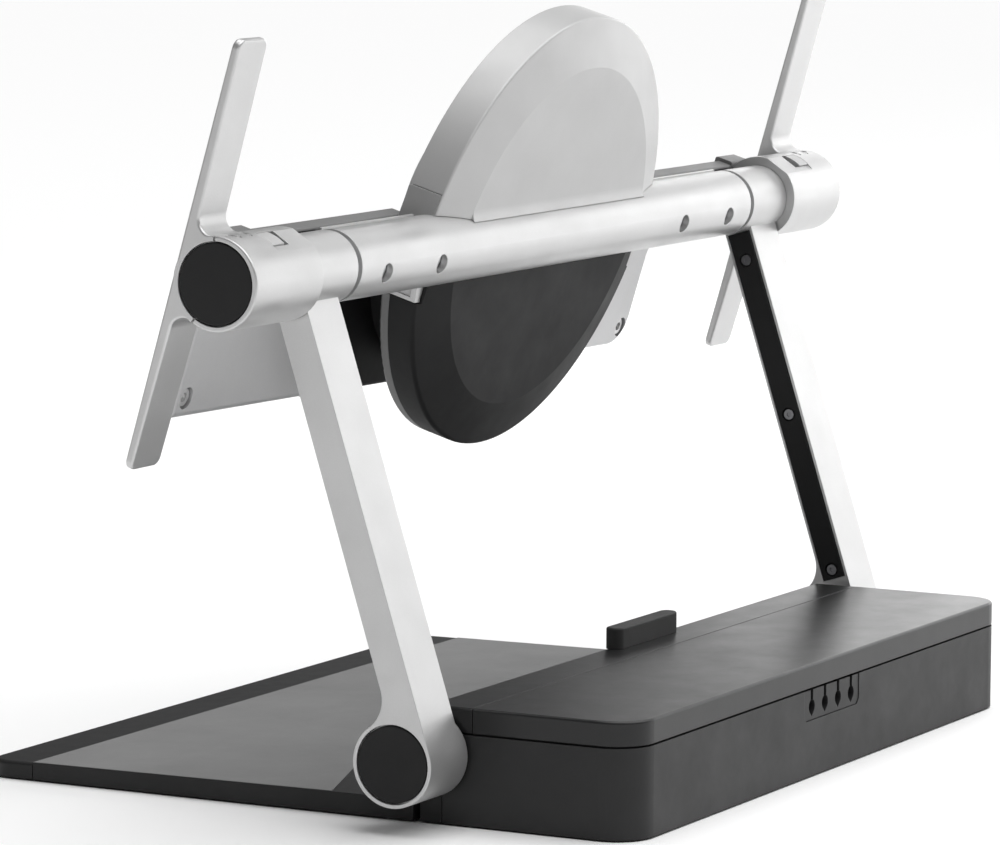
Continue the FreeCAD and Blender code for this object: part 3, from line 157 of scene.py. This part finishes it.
WEARS = {
    "silver": ["head_tube", "end_sleeve_left", "end_sleeve_right", "arm_left", "arm_right", "lever_left",
               "lever_right", "tube_clamp_left", "tube_clamp_right"],
    "silver_cover": ["hub_cover_upper", "lock_slider_left", "lock_slider_right"],
    "frame_grey": ["hub_carrier", "front_beam_left", "front_beam_right", "rotation_hub"],
    "plate_grey": ["display_plate"],
    "dark_cover": ["hub_cover_lower", "hub_shroud"],
    "tray": ["box_tray", "keyhole_clip"],
    "lid": ["box_lid", "front_cover"],
    "black_cap": ["end_cap_left", "end_cap_right", "pivot_cap_left", "pivot_cap_right"],
    "black_panel": ["hub_panel", "arm_cover_left", "arm_cover_right"],
    "plate_desk": ["front_plate", "front_trim"],
    "mat": ["mat_inlay"],
    "rubber": ["rubber_feet", "display_bumper"],
    "steel": ["pivot_shaft_left", "pivot_shaft_right", "head_axle_left", "head_axle_right",
              "pivot_crossbeam", "pivot_nuts", "pivot_washers", "slewing_ring", "clutch_plates",
              "clutch_springs", "counterbalance_spring_left", "counterbalance_spring_right"],
    "screw": ["counterweight_screws", "arm_cover_screws", "slewing_screws", "hub_screws"],
    "bright_screw": ["display_screws", "tube_screws"],
    "bush": ["pivot_bushes", "tilt_bushes"],
    "iron": ["counterweight", "base_steel_plate"],
    "black_steel": ["pivot_block_left", "pivot_block_right"],
}

for key, names in WEARS.items():
    for name in names:
        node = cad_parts[name]
        node.data.materials.clear()
        node.data.materials.append(MATERIALS[key])


# Studio -----------------------------------------------------------------------------------

WORLD_STRENGTH = 0.12
FLOOR_SIZE = 60.0
FLOOR_COLOUR = (0.96, 0.96, 0.96, 1.0)
FLOOR_ROUGHNESS = 0.9

WALL_PLACE = (-4.2, 2.22, 0.8)
WALL_AIM = (0, 0, 0.2)
WALL_WIDTH = 4.0
WALL_HEIGHT = 3.0
WALL_POWER = 45.0

CARD_AWAY = Vector((-0.885, -0.466, 0.0))       # from the object, directly away from the camera
CARD_ACROSS = Vector((-0.466, 0.885, 0.0))
CARD_DISTANCE = 3.0
CARD_CENTRE_Z = 0.98
CARD_WIDTH = 2.5
CARD_HEIGHT = 1.3
CARD_POWER = 17.0
CARD_EDGES = (0.2, 0.45, 0.7)                   # stepped, so that the reflected edge is soft

SUN_STRENGTH = 3.1
SUN_ANGLE = math.radians(80.0)
SUN_DIRECTION = Vector((0.14, -0.30, -0.94))

CAMERA_AZIMUTH = math.radians(117.8)
CAMERA_ELEVATION = math.radians(6.953)
CAMERA_ROLL = math.radians(0.311)
CAMERA_TARGET = Vector((0.01158, -0.0045, 0.18445))
CAMERA_DISTANCE = 3.1356
LENS = 197.76
SENSOR_WIDTH = 36.0
CLIP_START = 0.05
CLIP_END = 100.0


def softbox(name, place, aim, width, height, power):
    """A rectangular light at a place, turned towards its aim."""
    light = bpy.data.lights.new(name, "AREA")
    light.shape = "RECTANGLE"
    light.size = width
    light.size_y = height
    light.energy = power
    lamp = bpy.data.objects.new(name, light)
    bpy.context.scene.collection.objects.link(lamp)
    lamp.location = place
    lamp.rotation_mode = "QUATERNION"
    lamp.rotation_quaternion = (Vector(aim) - Vector(place)).to_track_quat("-Z", "Y")


def studio():
    """A pale floor, a wide soft sun, a rear wall of light, and cards behind the object."""
    scene = bpy.context.scene
    scene.view_settings.view_transform = "Standard"
    world = bpy.data.worlds.new("studio")
    scene.world = world
    world.use_nodes = True
    background = world.node_tree.nodes["Background"]
    background.inputs["Color"].default_value = (1.0, 1.0, 1.0, 1.0)
    background.inputs["Strength"].default_value = WORLD_STRENGTH

    bpy.ops.mesh.primitive_plane_add(size=FLOOR_SIZE, location=(0, 0, 0))
    floor = bpy.context.active_object
    floor.name = "studio_floor"
    pale = bpy.data.materials.new("pale_floor")
    pale.use_nodes = True
    shader = pale.node_tree.nodes["Principled BSDF"]
    shader.inputs["Base Color"].default_value = FLOOR_COLOUR
    shader.inputs["Roughness"].default_value = FLOOR_ROUGHNESS
    floor.data.materials.append(pale)

    softbox("rear_wall", WALL_PLACE, WALL_AIM, WALL_WIDTH, WALL_HEIGHT, WALL_POWER)
    for index, edge in enumerate(CARD_EDGES):
        across = CARD_ACROSS * (edge + 0.5 * CARD_WIDTH)
        place = CARD_AWAY * CARD_DISTANCE + across + Vector((0.0, 0.0, CARD_CENTRE_Z))
        softbox("far_card_%d" % index, place, place - CARD_AWAY, CARD_WIDTH, CARD_HEIGHT, CARD_POWER)
    overhead = bpy.data.lights.new("overhead", "SUN")
    overhead.energy = SUN_STRENGTH
    overhead.angle = SUN_ANGLE
    ceiling = bpy.data.objects.new("overhead", overhead)
    scene.collection.objects.link(ceiling)
    ceiling.rotation_mode = "QUATERNION"
    ceiling.rotation_quaternion = SUN_DIRECTION.to_track_quat("-Z", "Y")


def camera():
    """A long lens from the right and behind, slightly above."""
    scene = bpy.context.scene
    flat = math.cos(CAMERA_ELEVATION)
    back = Vector((math.sin(CAMERA_AZIMUTH) * flat, -math.cos(CAMERA_AZIMUTH) * flat,
                   math.sin(CAMERA_ELEVATION)))
    level = (-back).cross(Vector((0, 0, 1))).normalized()
    upright = level.cross(-back)
    right = level * math.cos(CAMERA_ROLL) + upright * math.sin(CAMERA_ROLL)
    up = upright * math.cos(CAMERA_ROLL) - level * math.sin(CAMERA_ROLL)
    data = bpy.data.cameras.new("camera")
    data.lens = LENS
    data.sensor_width = SENSOR_WIDTH
    data.clip_start = CLIP_START
    data.clip_end = CLIP_END
    eye = bpy.data.objects.new("camera", data)
    scene.collection.objects.link(eye)
    axes = Matrix((right, up, back)).transposed().to_4x4()
    eye.matrix_world = Matrix.Translation(CAMERA_TARGET + back * CAMERA_DISTANCE) @ axes
    scene.camera = eye


studio()
camera()
